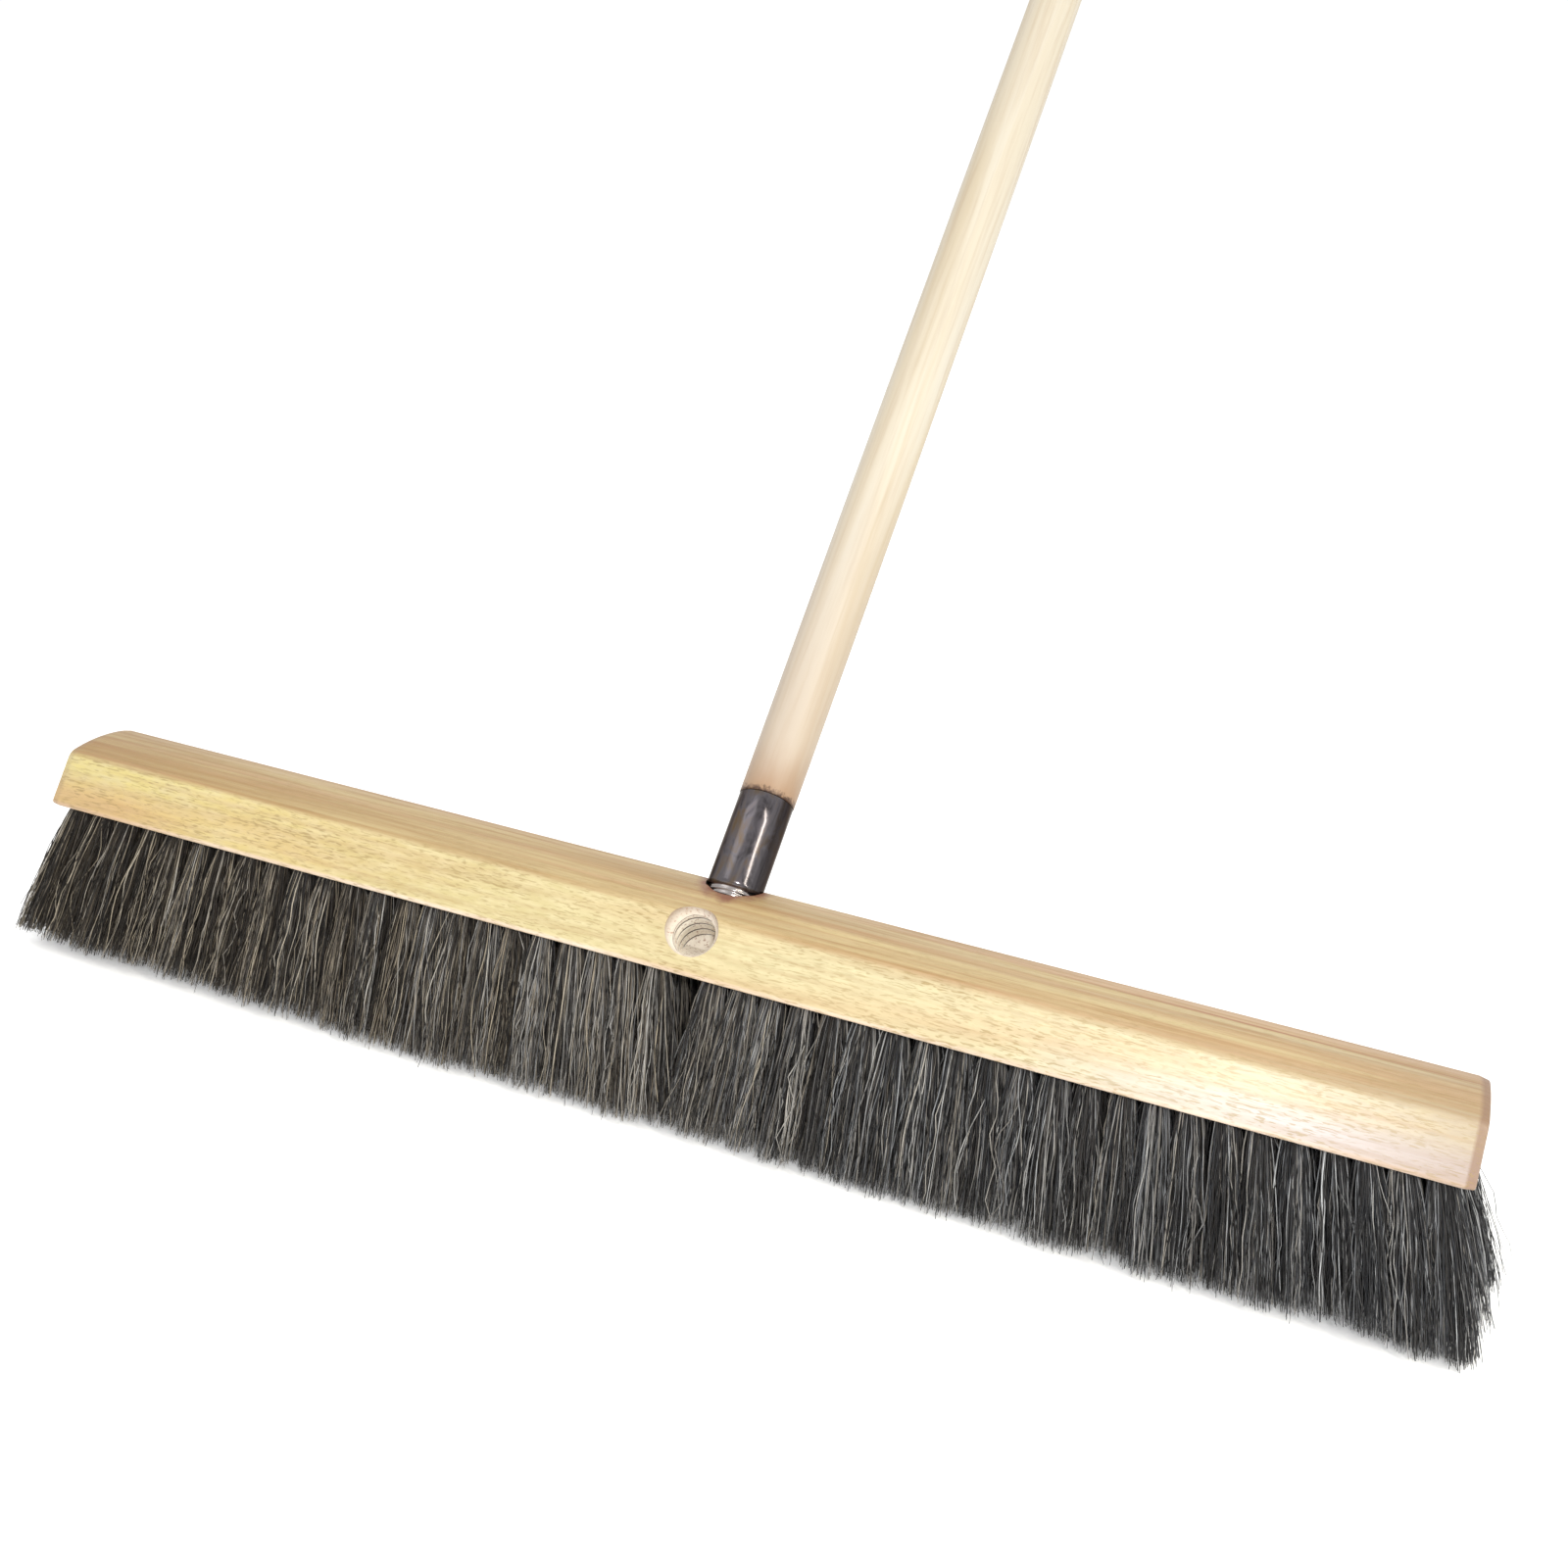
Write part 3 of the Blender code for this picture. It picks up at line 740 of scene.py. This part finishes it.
def make_handle(mat):
    """The round stick: tenon, shoulder against the ferrule, slight swell, rounded top."""
    shoulder = BARREL_TOP + 0.25
    profile = [(0.0, BARREL_FOOT + 3.4), (TENON_RADIUS, BARREL_FOOT + 3.4), (TENON_RADIUS, shoulder)]
    profile += [(HANDLE_FOOT_RADIUS - 0.3, shoulder), (HANDLE_FOOT_RADIUS, shoulder + 0.4)]
    steps = 80
    for step in range(1, steps):
        height = shoulder + (HANDLE_TOP - HANDLE_TOP_ROUND - shoulder) * step / steps
        share = min(1.0, (height - shoulder) / (HANDLE_TAPER_TOP - shoulder))
        profile.append((HANDLE_FOOT_RADIUS + (HANDLE_RADIUS - HANDLE_FOOT_RADIUS) * share, height))
    for step in range(9):
        angle = math.pi / 2.0 * step / 8.0
        profile.append((
            HANDLE_RADIUS - 6.6 * (1.0 - math.cos(angle)),
            HANDLE_TOP - HANDLE_TOP_ROUND + HANDLE_TOP_ROUND * math.sin(angle),
        ))
    profile.append((0.0, HANDLE_TOP))

    def radius_at(radius, height, turn):
        lobes = 0.05 * math.sin(2.0 * math.tau * turn + height / 90.0)
        return radius + (lobes + 0.06 * math.sin(height / 47.0) if height > shoulder else 0.0)

    handle = revolve("handle_stick", profile, mat, 96, radius_at)
    smooth(handle, 30.0)
    return on_handle(handle)


def make_ferrule(mat):
    """The sheet-steel ferrule: open barrel, rolled foot, coarse neck and male thread."""
    inner = BARREL_RADIUS - BARREL_WALL
    profile = [
        (inner + 0.3, BARREL_TOP), (BARREL_RADIUS - 0.25, BARREL_TOP), (BARREL_RADIUS, BARREL_TOP - 0.3),
        (BARREL_RADIUS, 28.0), (BARREL_RADIUS, 14.0), (BARREL_RADIUS, BARREL_FOOT + 3.0),
        (BARREL_RADIUS - 0.1, BARREL_FOOT + 2.2), (BARREL_RADIUS - 0.45, BARREL_FOOT + 1.5),
        (BARREL_RADIUS - 0.9, BARREL_FOOT + 0.9), (NECK_RADIUS + 0.45, BARREL_FOOT + 0.45),
    ]
    rings = 24
    neck_end = -7.0
    for step in range(rings + 1):
        profile.append((NECK_RADIUS, BARREL_FOOT + (neck_end - BARREL_FOOT) * step / rings))
    profile += [(9.3, -7.8), (THREAD_RADIUS, -8.4)]
    for step in range(1, 48):
        profile.append((THREAD_RADIUS, -8.5 - 0.2 * step))
    profile += [
        (7.9, THREAD_END), (5.0, THREAD_END), (5.0, THREAD_END + 0.8), (7.3, THREAD_END + 1.0),
        (7.3, -7.5), (9.0, -6.5), (9.0, BARREL_FOOT + 1.0), (10.6, BARREL_FOOT + 1.8),
        (inner, BARREL_FOOT + 2.6), (inner, BARREL_TOP - 0.3),
    ]

    def radius_at(radius, height, turn):
        wave = 0.5 - 0.5 * math.cos(math.tau * (height / THREAD_PITCH - turn))
        ripple = 0.5 - 0.5 * math.cos(math.tau * (height / 1.7 - turn))
        if radius == NECK_RADIUS:
            return radius + 0.45 * wave + 0.25 * ripple
        if radius == THREAD_RADIUS:
            return radius + 1.32 * min(1.0, 1.6 * wave ** 2)
        return radius

    ferrule = revolve("ferrule_barrel", profile, mat, 128, radius_at, closed=True)
    smooth(ferrule, 40.0)
    return on_handle(ferrule)


def make_nail(mat):
    """The nail through the back of the barrel: pointed shank and domed head."""
    seat = BARREL_RADIUS + 0.15
    profile = [(0.0, 4.0), (NAIL_RADIUS, 5.6), (NAIL_RADIUS, seat), (2.1, seat), (2.2, seat + 0.15)]
    profile.append((NAIL_HEAD_RADIUS, seat + 0.4))
    steps = 5
    for step in range(1, steps + 1):
        angle = math.pi / 2.0 * step / steps
        radius = NAIL_HEAD_RADIUS * math.cos(angle) if step < steps else 0.0
        profile.append((radius, seat + 0.4 + 0.6 * math.sin(angle)))
    nail = revolve("ferrule_nail_head", profile, mat, 32)
    turn = Matrix.Translation((0.0, 0.0, NAIL_HEIGHT * MM)) @ Matrix.Rotation(-math.pi / 2.0, 4, "X")
    nail.data.transform(turn)
    smooth(nail, 40.0)
    return on_handle(nail)


# ---------------------------------------------------------------- bristle


def tip_shift(x, y):
    """How far a fibre leans along X at its tip: out at the ends, in at the middle."""
    share = x / (BLOCK_LENGTH / 2.0 - 15.0)
    inward = CENTRE_LEAN * math.exp(-((x / 60.0) ** 2))
    skew = max(0.0, share) ** 3 * (4.0 * y / (2.0 * ROW_PITCH) - 1.0)
    lean = END_LEAN if share > 0.0 else LEFT_END_LEAN
    return lean * share * abs(share) - math.copysign(inward, x) + skew


def trim_height(x):
    """Height of the trimmed ends above the floor: worn shorter towards the left, and wavy."""
    wear = 3.0 * max(0.0, (-x - 60.0) / 220.0) ** 1.5 if x > -280.0 else 1.0
    for place, width, depth in WORN_NOTCHES:
        wear += depth * math.exp(-(((x - place) / width) ** 2))
    wave = 0.6 * math.sin(x / 17.0) + 0.5 * math.sin(x / 7.3 + 1.0) + 0.5 * math.sin(x / 41.0 + 2.0)
    return 1.9 + wear + wave


def unit_disc(rng, count, inner=0.0):
    """Random points in the unit disc; inner is the least squared radius."""
    angle = rng.uniform(0.0, math.tau, count)
    reach = np.sqrt(rng.uniform(inner, 1.0, count))
    return np.stack([reach * np.cos(angle), reach * np.sin(angle)], 1)


def tuft_fibres(rng, x, y, count, rings):
    """Root-to-tip paths of one tuft's fibres, in millimetres, with radius, shade and tint."""
    t = np.linspace(0.0, 1.0, rings)
    at_end = abs(x) > END_TUFTS
    tip_reach, tip_limit, stray_reach = TIP_REACH, TIP_LIMIT, STRAY_REACH
    if at_end:
        count = int(END_DENSITY * count)
        tip_reach, tip_limit, stray_reach = END_TIP_REACH, END_TIP_LIMIT, END_STRAY_REACH
    rooted = unit_disc(rng, count)
    lock_at = unit_disc(rng, LOCKS_PER_TUFT, 0.1)
    lock = np.argmin(((rooted[:, None] - lock_at[None]) ** 2).sum(2), 1)
    gather = rng.uniform(0.0, 0.55, LOCKS_PER_TUFT)[lock][:, None]
    spread = rooted * (1.0 - gather) + lock_at[lock] * gather
    tip = np.array([x + tip_shift(x, y), y * TIP_FAN]) + rng.normal(0.0, 0.7, 2)
    tip_off = spread * tip_reach + rng.normal(0.0, 2.1, (count, 2))
    stray = rng.uniform(0.0, 1.0, count) < STRAY_SHARE
    tip_off[stray] += rng.normal(0.0, stray_reach, (int(stray.sum()), 2))
    tip_off = np.clip(tip_off, -tip_limit, tip_limit)
    bend = (t ** (0.45 if x < -END_TUFTS else 0.52))[None, :, None]
    bulge = 0.12 * max(0.0, x / (BLOCK_LENGTH / 2.0)) ** 4
    carried = (t + bulge * t * (1.0 - t))[None, :, None]
    path = np.zeros((count, rings, 3))
    path[:, :, :2] = np.array([x, y]) + (tip - np.array([x, y])) * carried
    path[:, :, :2] += rooted[:, None] * TUFT_SPREAD * (1.0 - bend) + tip_off[:, None] * bend
    waves = rng.uniform(0.5, 0.3 * (rings - 1), count)[:, None]
    phase = rng.uniform(0.0, math.tau, count)[:, None]
    sway = rng.uniform(0.5, 2.1, count) * np.where(stray, 2.5, 1.0) / np.sqrt(waves[:, 0])
    swing = sway[:, None] * (np.sin(phase + waves * math.tau * t) - np.sin(phase))
    swing *= np.minimum(1.0, 2.5 * t)
    heading = rng.uniform(0.0, math.tau, count)
    path[:, :, 0] += swing * np.cos(heading)[:, None]
    path[:, :, 1] += swing * np.sin(heading)[:, None]
    short = np.abs(rng.normal(0.0, 0.8, count)) + rng.uniform(-0.6, 0.9, LOCKS_PER_TUFT)[lock]
    cropped = rng.uniform(0.0, 1.0, count) < CROPPED_SHARE
    short[cropped] += rng.uniform(0.0, CROP_DEPTH, int(cropped.sum()))
    root_z = UNDERSIDE + ROOT_DEPTH
    end_z = np.maximum(trim_height(tip[0]) + short, LEAST_TIP_HEIGHT)
    path[:, :, 2] = root_z + (end_z[:, None] - root_z) * t
    pale = 1.0 + 0.8 * math.exp(-(((x + 30.0) / 75.0) ** 2))
    pale -= (0.15 if x > 0.0 else 0.45) * (x / (BLOCK_LENGTH / 2.0)) ** 4
    light = rng.uniform(0.0, 1.0, count) < pale * rng.uniform(0.2, 0.52, LOCKS_PER_TUFT)[lock]
    shade = np.where(light, rng.uniform(0.55, 1.0, count), rng.uniform(0.0, 0.45, count))
    radius = rng.uniform(0.15, 0.25, count) + 0.05 * shade
    tint = np.clip(0.3 * rng.uniform(0.0, 1.0) + 0.8 * rng.uniform(-0.05, 1.0, count), 0.0, 1.0)
    return path, radius, shade, tint


def fibre_mesh(name, paths, radii, shades, tints, mat):
    """One mesh of three-sided tapered fibres with closed ends."""
    count, rings = paths.shape[:2]
    t = np.linspace(0.0, 1.0, rings)
    turn = np.arange(3) / 3.0 * math.tau
    angle = (np.arange(count) * 2.4)[:, None, None] + turn[None, None, :]
    width = radii[:, None, None] * (1.0 - 0.4 * t ** 3)[None, :, None]
    verts = np.repeat(paths[:, :, None, :], 3, axis=2)
    verts[..., 0] += width * np.cos(angle)
    verts[..., 1] += width * np.sin(angle)
    verts = verts.reshape(-1, 3) * MM
    base = (np.arange(count) * rings * 3)[:, None, None]
    ring = (np.arange(rings - 1) * 3)[None, :, None]
    corner = np.arange(3)[None, None, :]
    after = (corner + 1) % 3
    quads = np.stack([
        base + ring + corner, base + ring + 3 + corner,
        base + ring + 3 + after, base + ring + after,
    ], -1).reshape(-1, 4)
    first = base[:, 0, :]
    caps = np.concatenate([
        first + np.array([0, 1, 2]), first + (rings - 1) * 3 + np.array([2, 1, 0]),
    ])
    corners = np.concatenate([quads.ravel(), caps.ravel()]).astype(np.int32)
    starts = np.concatenate([
        np.arange(len(quads)) * 4, len(quads) * 4 + np.arange(len(caps)) * 3,
    ]).astype(np.int32)
    mesh = bpy.data.meshes.new(name)
    mesh.vertices.add(len(verts))
    mesh.vertices.foreach_set("co", verts.ravel())
    mesh.loops.add(len(corners))
    mesh.loops.foreach_set("vertex_index", corners)
    mesh.polygons.add(len(starts))
    mesh.polygons.foreach_set("loop_start", starts)
    mesh.update(calc_edges=True)
    mesh.shade_smooth()
    colour = np.ones((count, rings, 3, 4), np.float32)
    colour[..., 0] = shades[:, None, None]
    colour[..., 1] = t[None, :, None]
    colour[..., 2] = tints[:, None, None]
    layer = mesh.color_attributes.new("strand", "FLOAT_COLOR", "POINT")
    layer.data.foreach_set("color", colour.ravel())
    mesh.materials.append(mat)
    obj = bpy.data.objects.new(name, mesh)
    bpy.context.scene.collection.objects.link(obj)
    return obj


def make_bristle(mat):
    """All the tufts, one mesh for each CAD bank of each row."""
    rng = np.random.default_rng(SEED)
    for row in ROWS:
        outer = row in OUTER_ROWS
        count, rings = (OUTER_FIBRES, OUTER_RINGS) if outer else (INNER_FIBRES, INNER_RINGS)
        for side, word in ((-1, "left"), (1, "right")):
            for bank in range(BANKS_PER_SIDE):
                parts = []
                for x in tuft_places(row, side, BANK_SPLITS[bank], BANK_SPLITS[bank + 1]):
                    parts.append(tuft_fibres(rng, x, (row - MIDDLE_ROW) * ROW_PITCH, count, rings))
                joined = [np.concatenate(column) for column in zip(*parts)]
                obj = fibre_mesh(f"fibres_row{row}_{word}_{bank + 1}", *joined, mat)
                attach(obj, "head")
                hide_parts(f"bristle_row{row}_{word}_bank{bank + 1}")


# ---------------------------------------------------------------- camera, light and floor


def aim(obj, location, right, up):
    """Place a camera or light by its own right and up directions."""
    right = Vector(right).normalized()
    up = Vector(up)
    up = (up - right * up.dot(right)).normalized()
    back = right.cross(up)
    rotation = Matrix((right, up, back)).transposed().to_4x4()
    obj.matrix_world = Matrix.Translation(location) @ rotation


def make_camera():
    data = bpy.data.cameras.new("camera")
    data.lens = LENS
    data.sensor_width = 36.0
    camera = bpy.data.objects.new("camera", data)
    bpy.context.scene.collection.objects.link(camera)
    aim(camera, CAMERA_PLACE, CAMERA_RIGHT, CAMERA_UP)
    bpy.context.scene.camera = camera


def area_light(name, location, target, size, power, colour=(1.0, 1.0, 1.0)):
    data = bpy.data.lights.new(name, "AREA")
    data.shape = "RECTANGLE"
    data.size, data.size_y = size
    data.energy = power
    data.color = colour
    light = bpy.data.objects.new(name, data)
    bpy.context.scene.collection.objects.link(light)
    direction = Vector(target) - Vector(location)
    light.rotation_euler = direction.to_track_quat("-Z", "Y").to_euler()
    light.location = location


def make_studio():
    """A large pale floor, a bright even surround, a lamp by the camera and soft boxes."""
    world = bpy.data.worlds.new("studio")
    world.use_nodes = True
    surround = world.node_tree.nodes["Background"]
    surround.inputs["Color"].default_value = (1.0, 1.0, 1.0, 1.0)
    surround.inputs["Strength"].default_value = WORLD_STRENGTH
    bpy.context.scene.world = world
    bpy.context.scene.view_settings.view_transform = "Standard"
    steps = 96
    ring = []
    for step in range(steps):
        angle = math.tau * step / steps
        ring.append((FLOOR_RADIUS * math.cos(angle) / MM, FLOOR_RADIUS * math.sin(angle) / MM, -FLOOR_DROP))
    floor = make_object("floor", ring, [list(range(steps))], floor_paint())
    area_light("flash", (0.33, -0.74, 0.56), (0.05, 0.0, 0.07), (0.10, 0.10), 4.1)
    area_light("overhead", (-0.95, -0.5, 1.8), (0.05, 0.1, 0.2), (1.2, 1.2), 6.0)
    area_light("side_window", (1.22, -0.58, 1.25), (0.0, 0.05, 0.25), (0.10, 1.9), 16.0, (1.0, 0.96, 0.82))


def main():
    block = make_block(block_wood(), cut_wood())
    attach(block, "head")
    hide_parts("block")
    handle = make_handle(handle_wood())
    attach(handle, "handle")
    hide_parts("handle")
    ferrule = make_ferrule(ferrule_steel())
    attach(ferrule, "handle")
    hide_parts("threaded_ferrule")
    nail = make_nail(nail_steel())
    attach(nail, "handle")
    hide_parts("ferrule_nail")
    make_bristle(bristle_fibre())
    make_camera()
    make_studio()


main()
